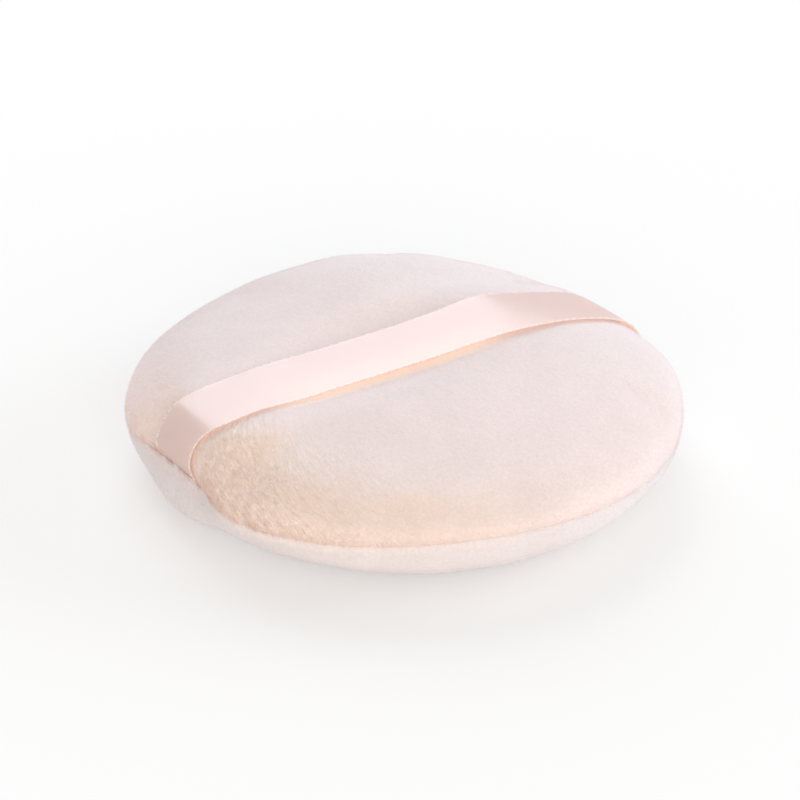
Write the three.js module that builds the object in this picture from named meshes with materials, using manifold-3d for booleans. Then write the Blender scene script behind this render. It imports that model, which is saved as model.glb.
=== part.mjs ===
// A round powder puff: two velour covers sewn edge to edge over a foam disc,
// with a satin ribbon across the crown for the fingers.
// Millimetres, +Z up, +X along the ribbon. The puff rests on the plane z = 0.

import * as THREE from "three";
import { mergeGeometries, mergeVertices } from "three/addons/utils/BufferGeometryUtils.js";
import Module from "manifold-3d";

const wasm = await Module();
wasm.setup();

// Driving dimensions of the cushion
const PUFF_DIAMETER = 70;
const CROWN_HEIGHT = 9; // from the seam plane up to the top of the dome
const BASE_DEPTH = 8; // from the seam plane down to the underside, before it settles
const SETTLING = 0.5; // how far the underside flattens under the puff's weight
const CROWN_FULLNESS = 2.1; // 2 gives an elliptic dome, more gives squarer shoulders
const BASE_FULLNESS = 2.1;
const CLOTH_THICKNESS = 1.5; // velour with its pile
const CLEARANCE = 0.3; // between pieces that touch

// Driving dimensions of the edge seam
const SEAM_DRAW_IN = 0.9; // depth of the groove that the stitches pull into the side
const LIP_HEIGHT = 2; // from the seam plane to the widest part of each cover
const SEAM_ALLOWANCE = 5; // width of the cover's edge that is turned inwards
const ALLOWANCE_THICKNESS = 1; // the turned-in edge, with its pile pressed flat
const STITCH_INSET = 2; // stitch line behind the fold of the seam
const STITCH_LENGTH = 7;
const THREAD_DIAMETER = 0.5;
const TURNING_GAP = 36; // opening at the back that is closed by hand

// Driving dimensions of the ribbon
const RIBBON_WIDTH = 10;
const RIBBON_THICKNESS = 0.4;
const RIBBON_TAIL = 4; // length of each end that the seam holds
const SPAN_LENGTH = 48; // free stretch over the crown that fingers lift
const SLACK_RISE = 0.5; // how far the spare length stands off the cover
const SLACK_PLACES = [-22, 15]; // where along the ribbon the spare length gathers
const SLACK_SPREAD = 5;

// How the taut ribbon presses into the crown
const VALLEY_DEPTH = 0.8; // downwards
const VALLEY_SPREAD = 9; // to each side of the ribbon
const VALLEY_START = 4; // the valley is deepest up to here, from the middle along the ribbon
const VALLEY_END = 18;

// How the ribbon's tension shifts the edge at its two ends
const LEFT_RISE = 1.6; // here the seam is pulled up
const RIGHT_RISE = -0.6; // here the shoulder is pressed down
const PULL_IN = 1.6; // towards the middle
const PULL_SPREAD = 12; // along the rim, to each side of the ribbon
const PULL_REACH = 16; // inwards from the rim
const PULL_DEPTH = 3; // downwards from the seam

// How the underside fills out below the ribbon's left end
const BULGE = 1.8; // outwards
const BULGE_SPREAD = 13; // along the rim
const BULGE_DEPTH = 6; // below the seam, where it is fullest
const BULGE_REACH = 20; // inwards from the rim

// Fineness of the shapes
const ROUND_SEGMENTS = 36;
const OUTSIDE_STEPS = 8;
const INSIDE_STEPS = 5;
const LIP_STEPS = 3;
const RIBBON_STEPS = 16;
const RIBBON_STRIPS = 4;
const STEPS_PER_STITCH = 8;
const SHOULDER_CROWDING = 1.3; // above 1, points gather towards the shoulder

// Sizes that follow from the driving dimensions
const PUFF_RADIUS = PUFF_DIAMETER / 2;
const RIM_RADIUS = PUFF_RADIUS - SEAM_DRAW_IN;
const SEAM_FACE = CLEARANCE / 2;
const ALLOWANCE_FACE = SEAM_FACE + ALLOWANCE_THICKNESS;
const ALLOWANCE_RADIUS = RIM_RADIUS - SEAM_ALLOWANCE;
const REST_DEPTH = BASE_DEPTH - SETTLING;
const STITCH_RADIUS = RIM_RADIUS - STITCH_INSET;
const THREAD_LEVEL = ALLOWANCE_FACE + CLEARANCE + THREAD_DIAMETER / 2;
const WAIST_FACE = THREAD_LEVEL + THREAD_DIAMETER / 2 + CLEARANCE;
const WAIST_RADIUS = RIM_RADIUS - Math.max(SEAM_ALLOWANCE, RIBBON_TAIL) - CLEARANCE;
const RIBBON_STANDOFF = CLEARANCE + RIBBON_THICKNESS / 2;

// The gap that was closed by hand lies at the back, a quarter turn from the ribbon's ends
const GAP_ANGLE = TURNING_GAP / STITCH_RADIUS;
const GAP_START = Math.PI / 2 - GAP_ANGLE / 2;
const GAP_END = GAP_START + GAP_ANGLE;
const SEAM_ANGLE = 2 * Math.PI - GAP_ANGLE;
const THREAD_END_MARGIN = (THREAD_DIAMETER + CLEARANCE) / STITCH_RADIUS;

// Half of the cushion's side view, from its middle out to the rim.
// A superellipse comes down to the widest part, and a rounded lip turns in to the seam.
function coverOutline(height, fullness, steps) {
  const points = [];
  for (let step = steps; step >= 0; step -= 1) {
    const angle = (Math.PI / 2) * (step / steps) ** SHOULDER_CROWDING;
    const across = step === steps ? 0 : Math.cos(angle) ** (2 / fullness);
    const rise = Math.sin(angle) ** (2 / fullness);
    points.push(new THREE.Vector2(PUFF_RADIUS * across, LIP_HEIGHT + (height - LIP_HEIGHT) * rise));
  }
  for (let step = 1; step <= LIP_STEPS; step += 1) {
    const angle = (Math.PI / 2) * (step / LIP_STEPS);
    const drawIn = SEAM_DRAW_IN * (1 - Math.cos(angle));
    const drop = (LIP_HEIGHT - SEAM_FACE) * Math.sin(angle);
    points.push(new THREE.Vector2(PUFF_RADIUS - drawIn, LIP_HEIGHT - drop));
  }
  return points;
}

// Unit normal of a polyline at one of its points, to the left of its direction
function normalAt(points, index) {
  const before = points[Math.max(index - 1, 0)];
  const after = points[Math.min(index + 1, points.length - 1)];
  const along = new THREE.Vector2().subVectors(after, before).normalize();
  return new THREE.Vector2(-along.y, along.x);
}

// A cover outline moved along its normals: a positive distance moves it out of the cushion
function movedOut(outline, distance) {
  return outline.map((point, index) => {
    const moved = normalAt(outline, index).multiplyScalar(distance).add(point);
    return index === 0 ? moved.setX(0) : moved;
  });
}

// The part of an outline that lies above a height
function above(outline, height) {
  return outline.filter((point) => point.y > height);
}

// The underside is flat where the puff rests
function settled(outline, depth) {
  return outline.map((point) => new THREE.Vector2(point.x, Math.min(point.y, depth)));
}

// A solid of revolution about +Z, from a profile that runs down its outside
function turned(profile) {
  const upwards = [...profile].reverse();
  return new THREE.LatheGeometry(upwards, ROUND_SEGMENTS, Math.PI / 2).rotateX(Math.PI / 2);
}

function toSolid(geometry) {
  const bare = geometry.clone();
  bare.deleteAttribute("normal");
  bare.deleteAttribute("uv");
  const merged = mergeVertices(bare, 1e-4);
  const vertProperties = new Float32Array(merged.attributes.position.array);
  const triVerts = new Uint32Array(merged.index.array);
  return new wasm.Manifold(new wasm.Mesh({ numProp: 3, vertProperties, triVerts }));
}

function toGeometry(solid) {
  const mesh = solid.getMesh();
  const geometry = new THREE.BufferGeometry();
  geometry.setAttribute("position", new THREE.BufferAttribute(mesh.vertProperties, 3));
  geometry.setIndex(new THREE.BufferAttribute(mesh.triVerts, 1));
  return geometry;
}

// Length along the rim from the nearer end of the ribbon
function fromRibbonEnd(point) {
  return PUFF_RADIUS * Math.atan2(point.y, Math.abs(point.x));
}

// A bell curve that is 1 at zero
function bell(distance, spread) {
  return Math.exp(-((distance / spread) ** 2));
}

// Moves a point away from the middle line, or towards it
function movedOutwards(point, distance) {
  const radius = Math.hypot(point.x, point.y);
  const scale = radius > 0 ? 1 + distance / radius : 1;
  point.x *= scale;
  point.y *= scale;
}

// The taut ribbon presses a shallow valley along the crown
function pressed(point) {
  const along = 1 - THREE.MathUtils.smoothstep(Math.abs(point.x), VALLEY_START, VALLEY_END);
  const high = THREE.MathUtils.smoothstep(point.z, 0, CROWN_HEIGHT / 2);
  point.z -= VALLEY_DEPTH * bell(point.y, VALLEY_SPREAD) * along * high;
}

// The underside fills out below the ribbon's left end, and its height stays
function filledOut(point) {
  const radius = Math.hypot(point.x, point.y);
  const low = THREE.MathUtils.smoothstep(-point.z, 0, BULGE_DEPTH);
  const outer = THREE.MathUtils.smoothstep(radius, PUFF_RADIUS - BULGE_REACH, PUFF_RADIUS);
  const left = point.x < 0 ? bell(fromRibbonEnd(point), BULGE_SPREAD) : 0;
  movedOutwards(point, BULGE * low * outer * left);
}

// The ribbon's tension shifts the rim at both of its ends and draws it inwards
function pulled(point) {
  const radius = Math.hypot(point.x, point.y);
  const nearEnd = bell(fromRibbonEnd(point), PULL_SPREAD);
  const nearRim = THREE.MathUtils.smoothstep(radius, PUFF_RADIUS - PULL_REACH, PUFF_RADIUS);
  const nearSeam = THREE.MathUtils.smoothstep(point.z, -PULL_DEPTH, 0);
  const pull = nearEnd * nearRim * nearSeam;
  movedOutwards(point, -PULL_IN * pull);
  point.z += (point.x > 0 ? RIGHT_RISE : LEFT_RISE) * pull;
}

// Every piece follows the same shifts, so their clearances stay
function shapedByRibbon(geometry) {
  const position = geometry.attributes.position;
  const point = new THREE.Vector3();
  for (let index = 0; index < position.count; index += 1) {
    point.fromBufferAttribute(position, index);
    pressed(point);
    filledOut(point);
    pulled(point);
    position.setXYZ(index, point.x, point.y, point.z);
  }
  geometry.computeVertexNormals();
  return geometry;
}

// Stitches

// A thread that runs in and out of the two turned-in edges.
// It goes straight through at each needle hole and lies along the cloth between them.
class RunningStitch extends THREE.Curve {
  constructor(start, end) {
    super();
    const run = end - start - 2 * THREAD_END_MARGIN;
    this.count = Math.round((run * STITCH_RADIUS) / STITCH_LENGTH);
    this.pitch = run / this.count;
    this.first = start + THREAD_END_MARGIN + this.pitch / 2;
  }

  getPoint(share, target = new THREE.Vector3()) {
    const stitch = share * this.count - 0.5;
    const advance = stitch - Math.sin(2 * Math.PI * stitch) / (2 * Math.PI);
    const angle = this.first + this.pitch * advance;
    const level = THREAD_LEVEL * Math.sin(Math.PI * stitch);
    return target.set(STITCH_RADIUS * Math.cos(angle), STITCH_RADIUS * Math.sin(angle), level);
  }

  // How far a stitch has moved along the seam where it leaves the cloth
  driftAtFace() {
    const stitch = Math.asin(ALLOWANCE_FACE / THREAD_LEVEL) / Math.PI;
    const advance = stitch - Math.sin(2 * Math.PI * stitch) / (2 * Math.PI);
    return this.pitch * STITCH_RADIUS * advance;
  }

  needleHoles() {
    const width = THREAD_DIAMETER + 2 * CLEARANCE;
    const length = width + 2 * this.driftAtFace();
    const holes = [];
    for (let index = 0; index < this.count; index += 1) {
      const hole = new THREE.BoxGeometry(width, length, 2 * WAIST_FACE);
      hole.translate(STITCH_RADIUS, 0, 0).rotateZ(this.first + this.pitch * index);
      holes.push(hole);
    }
    return holes;
  }
}

const SEAM_STITCHES = new RunningStitch(GAP_END, GAP_END + SEAM_ANGLE);
const CLOSING_STITCHES = new RunningStitch(GAP_START, GAP_END);
const ALL_HOLES = [...SEAM_STITCHES.needleHoles(), ...CLOSING_STITCHES.needleHoles()];
const NEEDLE_HOLES = toSolid(mergeGeometries(ALL_HOLES));

function thread(stitches) {
  const radius = THREAD_DIAMETER / 2;
  const section = new THREE.Shape();
  section.moveTo(radius, 0).lineTo(0, radius).lineTo(-radius, 0).lineTo(0, -radius);
  const steps = stitches.count * STEPS_PER_STITCH;
  return new THREE.ExtrudeGeometry(section, { steps, extrudePath: stitches, bevelEnabled: false });
}

// Ribbon

function slackAt(x) {
  return SLACK_PLACES.reduce((sum, place) => sum + SLACK_RISE * bell(x - place, SLACK_SPREAD), 0);
}

// The points of a line that don't crowd a place on it
function clearOf(points, place) {
  return points.filter((point) => point.distanceTo(place) > CLEARANCE);
}

// Where half a ribbon passes a distance from the middle, and the index of its next point
function passing(line, distance) {
  const index = line.findIndex((point) => Math.abs(point.x) > distance);
  const before = line[index - 1];
  const after = line[index];
  const share = (distance - Math.abs(before.x)) / (Math.abs(after.x) - Math.abs(before.x));
  return { index, point: new THREE.Vector2().lerpVectors(before, after, share) };
}

// Centre line of half the ribbon in the plane of x and z, from the crown out to its sewn tail.
// side is 1 towards +X and -1 towards -X.
function ribbonHalf(side) {
  const outline = coverOutline(CROWN_HEIGHT, CROWN_FULLNESS, RIBBON_STEPS);
  const line = outline.map((point, index) => {
    const standoff = RIBBON_STANDOFF + slackAt(side * point.x);
    const moved = normalAt(outline, index).multiplyScalar(standoff).add(point);
    return index === 0 ? moved.setX(0) : moved;
  });
  const tail = new THREE.Vector2(RIM_RADIUS - RIBBON_TAIL, 0);
  const mouth = new THREE.Vector2(RIM_RADIUS, 0);
  const outside = clearOf(above(line, 0), mouth);
  return [...outside, mouth, tail].map((point) => point.setX(side * point.x));
}

// Cuts half a ribbon in two at a distance from the middle, leaving a gap at the cut
function splitHalf(line, distance) {
  const inner = passing(line, distance - CLEARANCE / 2);
  const outer = passing(line, distance + CLEARANCE / 2);
  return {
    middle: [...clearOf(line.slice(0, inner.index), inner.point), inner.point],
    end: [outer.point, ...clearOf(line.slice(outer.index), outer.point)],
  };
}

// A strip of ribbon along a centre line in the plane of x and z
function strip(line) {
  const normals = line.map((point, index) => normalAt(line, index));
  const half = RIBBON_THICKNESS / 2;
  const left = line.map((point, index) => normals[index].clone().multiplyScalar(half).add(point));
  const right = line.map((point, index) => normals[index].clone().multiplyScalar(-half).add(point));
  const section = new THREE.Shape([...left, ...right.reverse()]);
  const options = { depth: RIBBON_WIDTH, steps: RIBBON_STRIPS, bevelEnabled: false };
  const geometry = new THREE.ExtrudeGeometry(section, options);
  return geometry.rotateX(Math.PI / 2).translate(0, RIBBON_WIDTH / 2, 0);
}

const RIGHT_HALF = splitHalf(ribbonHalf(1), SPAN_LENGTH / 2);
const LEFT_HALF = splitHalf(ribbonHalf(-1), SPAN_LENGTH / 2);

function ribbonSpan() {
  return strip([...LEFT_HALF.middle.slice(1).reverse(), ...RIGHT_HALF.middle]);
}

function ribbonEnd(half) {
  return toGeometry(toSolid(strip(half.end)).subtract(NEEDLE_HOLES));
}

// The two places where the seam opens to let the ribbon's tails in
function ribbonPockets() {
  const inner = RIM_RADIUS - RIBBON_TAIL - CLEARANCE;
  const length = PUFF_RADIUS - inner;
  const height = RIBBON_THICKNESS + 2 * CLEARANCE;
  const pockets = [1, -1].map((side) => {
    const pocket = new THREE.BoxGeometry(length, RIBBON_WIDTH + 2 * CLEARANCE, height);
    return pocket.translate(side * (inner + length / 2), 0, 0);
  });
  return toSolid(mergeGeometries(pockets));
}

const SEAM_CUTS = NEEDLE_HOLES.add(ribbonPockets());

// Cushion

// A velour shell: its outside, its turned-in edge, and its inside
function coverShell(outline, inside) {
  const corner = new THREE.Vector2(RIM_RADIUS - CLOTH_THICKNESS, ALLOWANCE_FACE);
  const profile = [
    ...outline,
    new THREE.Vector2(ALLOWANCE_RADIUS, SEAM_FACE),
    new THREE.Vector2(ALLOWANCE_RADIUS, ALLOWANCE_FACE),
    corner,
    ...above(inside, ALLOWANCE_FACE + CLEARANCE).reverse(),
  ];
  return turned(profile);
}

function topCover() {
  const outside = coverOutline(CROWN_HEIGHT, CROWN_FULLNESS, OUTSIDE_STEPS);
  const lining = coverOutline(CROWN_HEIGHT, CROWN_FULLNESS, INSIDE_STEPS);
  const shell = coverShell(outside, movedOut(lining, -CLOTH_THICKNESS));
  return toGeometry(toSolid(shell).subtract(SEAM_CUTS));
}

// The lower cover is made like the upper one and turned over
function bottomCover() {
  const outside = settled(coverOutline(BASE_DEPTH, BASE_FULLNESS, OUTSIDE_STEPS), REST_DEPTH);
  const lining = coverOutline(BASE_DEPTH, BASE_FULLNESS, INSIDE_STEPS);
  const inside = settled(movedOut(lining, -CLOTH_THICKNESS), REST_DEPTH - CLOTH_THICKNESS);
  const shell = coverShell(outside, inside).rotateX(Math.PI);
  return toGeometry(toSolid(shell).subtract(SEAM_CUTS));
}

// The foam fills both covers and has a waist that leaves room for the seam
function foamCore() {
  const inset = CLOTH_THICKNESS + CLEARANCE;
  const crown = movedOut(coverOutline(CROWN_HEIGHT, CROWN_FULLNESS, INSIDE_STEPS), -inset);
  const base = movedOut(coverOutline(BASE_DEPTH, BASE_FULLNESS, INSIDE_STEPS), -inset);
  const upper = above(crown, WAIST_FACE);
  const lower = settled(above(base, WAIST_FACE), REST_DEPTH - inset);
  const waist = [WAIST_FACE, 0, -WAIST_FACE].map((level) => new THREE.Vector2(WAIST_RADIUS, level));
  const turnedOver = lower.map((point) => point.setY(-point.y));
  return turned([...upper, ...waist, ...turnedOver.reverse()]);
}

// Materials and the finished group

function cloth(color, roughness) {
  return new THREE.MeshStandardMaterial({ color, roughness, metalness: 0 });
}

const PIECES = [
  ["top_cover", topCover(), cloth(0xeedfda, 0.95)],
  ["bottom_cover", bottomCover(), cloth(0xeadbd5, 0.95)],
  ["foam_core", foamCore(), cloth(0xf6efe3, 1)],
  ["ribbon_span", ribbonSpan(), cloth(0xfaeae8, 0.4)],
  ["ribbon_end_left", ribbonEnd(LEFT_HALF), cloth(0xf8e6e3, 0.4)],
  ["ribbon_end_right", ribbonEnd(RIGHT_HALF), cloth(0xf8e6e3, 0.4)],
  ["seam_thread", thread(SEAM_STITCHES), cloth(0xe8d6cd, 0.7)],
  ["closing_thread", thread(CLOSING_STITCHES), cloth(0xe8d6cd, 0.7)],
];

const puff = new THREE.Group();
puff.position.z = REST_DEPTH;
for (const [name, geometry, material] of PIECES) {
  const mesh = new THREE.Mesh(shapedByRibbon(geometry), material);
  mesh.name = name;
  puff.add(mesh);
}

export default puff;
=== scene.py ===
"""Powder puff: a velour cushion sewn round its edge, with a satin ribbon across the top."""
from math import asin, atan2, cos, exp, hypot, pi, radians, sin, tan

import bmesh
import bpy
import numpy as np
from bpy.props import FloatProperty, FloatVectorProperty, IntProperty, PointerProperty
from bpy.types import Operator, Panel, PropertyGroup
from mathutils import Matrix, Vector, noise


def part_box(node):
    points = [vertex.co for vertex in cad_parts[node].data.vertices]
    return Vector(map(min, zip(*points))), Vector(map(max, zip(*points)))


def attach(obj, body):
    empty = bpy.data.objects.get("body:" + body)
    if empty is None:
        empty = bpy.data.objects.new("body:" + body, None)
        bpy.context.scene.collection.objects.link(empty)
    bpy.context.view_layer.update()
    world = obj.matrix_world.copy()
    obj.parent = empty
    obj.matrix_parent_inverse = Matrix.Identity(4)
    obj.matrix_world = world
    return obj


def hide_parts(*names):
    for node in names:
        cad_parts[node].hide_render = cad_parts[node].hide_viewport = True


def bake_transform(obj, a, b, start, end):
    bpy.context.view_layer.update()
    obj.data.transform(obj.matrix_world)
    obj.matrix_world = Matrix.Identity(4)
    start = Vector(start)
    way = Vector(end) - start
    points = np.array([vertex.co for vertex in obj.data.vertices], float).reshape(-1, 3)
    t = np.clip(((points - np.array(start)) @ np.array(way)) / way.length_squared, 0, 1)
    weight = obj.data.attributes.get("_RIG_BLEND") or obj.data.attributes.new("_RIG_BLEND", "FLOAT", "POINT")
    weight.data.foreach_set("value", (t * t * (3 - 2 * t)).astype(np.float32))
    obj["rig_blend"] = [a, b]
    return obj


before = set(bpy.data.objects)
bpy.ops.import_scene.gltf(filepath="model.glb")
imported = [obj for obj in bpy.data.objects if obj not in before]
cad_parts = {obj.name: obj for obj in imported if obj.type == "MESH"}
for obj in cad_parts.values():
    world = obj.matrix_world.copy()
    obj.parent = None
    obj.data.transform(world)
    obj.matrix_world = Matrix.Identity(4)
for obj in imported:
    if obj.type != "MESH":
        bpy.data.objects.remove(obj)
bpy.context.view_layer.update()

bl_info = {
    "name": "Powder Puff",
    "version": (1, 0, 0),
    "blender": (4, 5, 0),
    "location": "View3D > Sidebar > Powder Puff",
    "description": "Models a velour powder puff with a satin ribbon handle",
    "category": "Object",
}

MM = 0.001

# Sizes that come from the frame
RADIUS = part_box("bottom_cover")[1].y
SEAM_HEIGHT = (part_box("closing_thread")[0].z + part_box("closing_thread")[1].z) / 2
CROWN_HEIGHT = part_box("top_cover")[1].z - SEAM_HEIGHT
RIBBON_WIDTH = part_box("ribbon_span")[1].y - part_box("ribbon_span")[0].y

# How the stuffed cloth departs from a turned shape:
# angle round the rim in degrees, spread along the rim and amount in millimetres
CROWN_SWELLS = ((72, 13, 0.3), (22, 13, -1.2), (112, 14, -0.9), (180, 12, 0.4), (-30, 14, 0.9))
BASE_SWELLS = ((180, 9, 4.0), (196, 5, -1.0), (250, 22, 1.35), (276, 10, 0.5))
RIM_SWELLS = ((148, 14, 0.5), (-32, 16, 0.5))

# The ribbon's way over the crown, in millimetres: place along the puff, and height over the seam
RIBBON_ROUTE = (
    (-27.0, 0.5), (-29.5, 0.5), (-32.3, 0.7), (-33.1, 2.6), (-32.5, 4.7), (-31.6, 6.2), (-30.5, 7.2),
    (-28.9, 7.9), (-26.0, 8.5), (-21.0, 8.75), (-8.0, 8.75), (2.0, 8.9), (9.0, 9.25), (14.0, 9.5),
    (18.5, 9.0), (23.3, 8.0), (27.6, 6.85), (30.6, 5.6), (32.9, 3.8), (34.0, 1.8), (33.0, 0.3),
    (29.5, 0.0), (27.0, 0.0),
)
ROUTE_STEPS = 24


# Settings

def a_length(name, description, default):
    return FloatProperty(name=name, description=description, default=default, unit="LENGTH")


def a_number(name, description, default):
    return FloatProperty(name=name, description=description, default=default)


def a_count(name, description, default):
    return IntProperty(name=name, description=description, default=default)


def a_colour(name, description, *default):
    return FloatVectorProperty(
        name=name, description=description, default=(*default, 1.0), size=4, subtype="COLOR",
    )


class PuffShape(PropertyGroup):
    """Sizes of the stuffed cushion."""

    radius: a_length("Radius", "From the middle to the widest part of the cloth", 1.01 * RADIUS)
    seam_height: a_length("Seam Height", "Height of the seam over the table", SEAM_HEIGHT)
    crown_height: a_length(
        "Crown Height", "Rise of the upper cover over the seam before it is pressed",
        CROWN_HEIGHT + 0.5 * MM,
    )
    base_depth: a_length(
        "Base Depth", "Depth of the lower cover under the seam before it settles", 8.0 * MM,
    )
    crown_fullness: a_number("Crown Fullness", "Higher values square the upper cover's shoulder", 2.1)
    base_fullness: a_number("Base Fullness", "Higher values square the lower cover's shoulder", 2.1)
    lip_height: a_length("Lip Height", "Height of the rounded edge beside the seam", 1.6 * MM)
    draw_in: a_length("Seam Draw-in", "How far the seam lies inside the widest part", 0.06 * MM)
    pinch: a_length("Pinch", "How much further the seam is drawn in at the ribbon's left end", 0.45 * MM)
    seam_gap: a_length("Seam Gap", "Gap between the two covers at the seam", 0.04 * MM)
    wall: a_length("Cloth Thickness", "Thickness of the knitted ground under the pile", 1.1 * MM)
    allowance: a_length("Seam Allowance", "Width of cloth turned in behind the seam", 4.0 * MM)
    cells: a_count("Cloth Cells", "Cells from rim to rim over a quarter of the bag", 20)
    levels: a_count("Fine Levels", "Subdivisions of the cloth after it is stuffed", 3)
    left_rise: a_length("Left Rise", "How far the ribbon lifts the seam at its left end", 0.8 * MM)
    front_rise: a_length("Front Rise", "How far the seam lies higher along the front", 1.6 * MM)
    pull_spread: a_length("Pull Spread", "Length of rim that the ribbon's end draws in", 9.0 * MM)
    pull_in: a_length("Pull In", "How far the ribbon's ends draw the rim in", 1.4 * MM)


class PuffPile(PropertyGroup):
    """Sizes of the velour's pile."""

    length: a_length("Pile Length", "Length of a fibre where the pile is longest", 0.48 * MM)
    thickness: a_length("Fibre Thickness", "Width of a fibre at its root", 0.04 * MM)
    tuft: a_length("Tuft Height", "Relief of the tufts in the nap", 0.16 * MM)
    lean: a_number("Lean", "How far the pile leans over, as a share of its length", 0.35)
    fibres: a_count("Fibres", "Fibres in one layer of pile", 48000)


class PuffRibbon(PropertyGroup):
    """Sizes of the ribbon."""

    width: a_length("Width", "Width of the ribbon", RIBBON_WIDTH)
    thickness: a_length("Thickness", "Thickness of the woven satin", 0.22 * MM)
    offset: a_length("Sewn Offset", "How far off the middle line the ribbon is sewn", 1.2 * MM)
    gap: a_length("Gap", "Height of the ribbon over the ground of the cloth at the crown", 0.95 * MM)
    end_gap: a_length("End Gap", "Height of the ribbon over the ground of the cloth at its ends", 0.52 * MM)
    picot: a_length("Picot Pitch", "Spacing of the small loops along the selvedge", 0.58 * MM)


class PuffColours(PropertyGroup):
    """Colours of the cloth, the ribbon and what is inside."""

    velour: a_colour("Velour", "Colour of the pile's tips on the crown", 0.865, 0.725, 0.685)
    # Painted warm light: a warmer copy of the velour for the shoulder that faces the front
    velour_painted_warm: a_colour(
        "Velour Sides", "Colour of the pile where it is seen from its side", 0.92, 0.795, 0.715,
    )
    # Painted light and shade: the lower cover is a separately toned copy of the velour, set for how light
    # falls under the puff
    velour_low_painted_light: a_colour(
        "Lower Velour", "Colour of the lower cover, whose pile lies the other way", 0.795, 0.72, 0.705,
    )
    # The knit ground's colour, which also paints shade between the tufts
    velour_ground_shade: a_colour("Velour Ground", "Colour between the tufts", 0.84, 0.69, 0.62)
    # Painted shade: a dark colour for the fold at the seam
    fold: a_colour("Seam Fold", "Colour of the bare cloth in the fold at the seam", 0.66, 0.38, 0.30)
    satin: a_colour("Satin", "Colour of the ribbon", 0.835, 0.77, 0.755)
    # Painted highlight: the loops are paler than the satin, for the light they catch
    selvedge: a_colour("Selvedge", "Colour of the small loops along the ribbon's edges", 1.0, 0.94, 0.92)
    foam: a_colour("Foam", "Colour of the filling", 0.82, 0.70, 0.54)
    thread: a_colour("Thread", "Colour of the sewing thread", 0.64, 0.45, 0.36)


# Shader maths

class Wire:
    """An output socket. Arithmetic on it adds Math nodes to its tree."""

    def __init__(self, look, socket):
        self.look = look
        self.socket = socket

    def math(self, operation, *values):
        return self.look.node("ShaderNodeMath", {"operation": operation}, *values)

    def __add__(self, other):
        return self.math("ADD", self, other)

    def __radd__(self, other):
        return self.math("ADD", other, self)

    def __sub__(self, other):
        return self.math("SUBTRACT", self, other)

    def __rsub__(self, other):
        return self.math("SUBTRACT", other, self)

    def __mul__(self, other):
        return self.math("MULTIPLY", self, other)

    def __rmul__(self, other):
        return self.math("MULTIPLY", other, self)

    def __truediv__(self, other):
        return self.math("DIVIDE", self, other)

    def output(self, name):
        """Another output of the same node."""
        return Wire(self.look, self.socket.node.outputs[name])

    def sine(self):
        return self.math("SINE", self)

    def clamped(self):
        return self.look.node("ShaderNodeClamp", {}, Value=self)


class Look:
    """A node tree that is filled one node at a time."""

    def __init__(self, tree):
        self.tree = tree

    def node(self, kind, settings, *values, give=0, **named):
        """Adds a node: its settings first, then the values or links of its sockets."""
        made = self.tree.nodes.new(kind)
        for name, value in settings.items():
            setattr(made, name, value)
        live = [socket for socket in made.inputs if socket.enabled]
        for socket, value in zip(live, values):
            self.feed(socket, value)
        for name, value in named.items():
            wanted = name.replace("_", " ")
            socket = next(s for s in live if s.name == wanted)
            self.feed(socket, value)
        outputs = [socket for socket in made.outputs if socket.enabled]
        if not outputs:
            return None
        if isinstance(give, str):
            return Wire(self, next(s for s in outputs if s.name == give))
        return Wire(self, outputs[give])

    def feed(self, socket, value):
        if isinstance(value, Wire):
            self.tree.links.new(value.socket, socket)
        else:
            socket.default_value = value

    def coordinates(self):
        return self.node("ShaderNodeTexCoord", {}, give="Object")

    def mix(self, first, second, share):
        """A colour between two others."""
        settings = {"data_type": "RGBA", "clamp_factor": True}
        return self.node("ShaderNodeMix", settings, Factor=share, A=first, B=second)


def new_look(name):
    """A new material with an empty node tree."""
    material = bpy.data.materials.new(name)
    material.use_nodes = True
    material.node_tree.nodes.clear()
    return material, Look(material.node_tree)


def show(look, shader):
    look.node("ShaderNodeOutputMaterial", {}, Surface=shader)


def darker(colour, level):
    """The same colour at a share of its brightness."""
    return tuple(level * part for part in colour[:3]) + (1.0,)


# Form of the cushion

def ease(value, start, end):
    """0 before start, 1 after end, and smooth between them."""
    share = min(max((value - start) / (end - start), 0.0), 1.0)
    return share * share * (3 - 2 * share)


def turn(angle):
    """The same angle between minus and plus half a turn."""
    return (angle + pi) % (2 * pi) - pi


def swelling(swells, angle, radius):
    """How far the cloth swells out at an angle round the rim."""
    total = 0.0
    for centre, spread, amount in swells:
        along = radius * turn(angle - radians(centre)) / (spread * MM)
        total += amount * MM * exp(-(along ** 2))
    return total


def cover_profile(shape, height, fullness):
    """The turned outline of one cover from its middle to the seam, evenly stepped along its length."""
    steps = 400
    lip_steps = 40
    dome = np.linspace(pi / 2, 0, steps)
    across = shape.radius * np.cos(dome).clip(0) ** (2 / fullness)
    up = shape.lip_height + (height - shape.lip_height) * np.sin(dome) ** (2 / fullness)
    lip = np.linspace(0, pi / 2, lip_steps)[1:]
    across = np.append(across, shape.radius - shape.draw_in * (1 - np.cos(lip)))
    up = np.append(up, shape.lip_height * (1 - np.sin(lip)))
    along = np.append(0, np.cumsum(np.hypot(np.diff(across), np.diff(up))))
    even = np.linspace(0, along[-1], steps)
    return np.interp(even, along, across), np.interp(even, along, up)


def ribbon_line():
    """Points along the ribbon's middle line, on a smooth curve through its route."""
    points = [Vector((x * MM, z * MM)) for x, z in RIBBON_ROUTE]
    line = []
    for i in range(1, len(points) - 2):
        before, start, end, after = points[i - 1:i + 3]
        for step in range(ROUTE_STEPS):
            t = step / ROUTE_STEPS
            line.append(
                0.5 * (2 * start + (end - before) * t
                       + (2 * before - 5 * start + 4 * end - after) * t ** 2
                       + (3 * start - before - 3 * end + after) * t ** 3)
            )
    line.append(points[-2])
    return line


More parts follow.
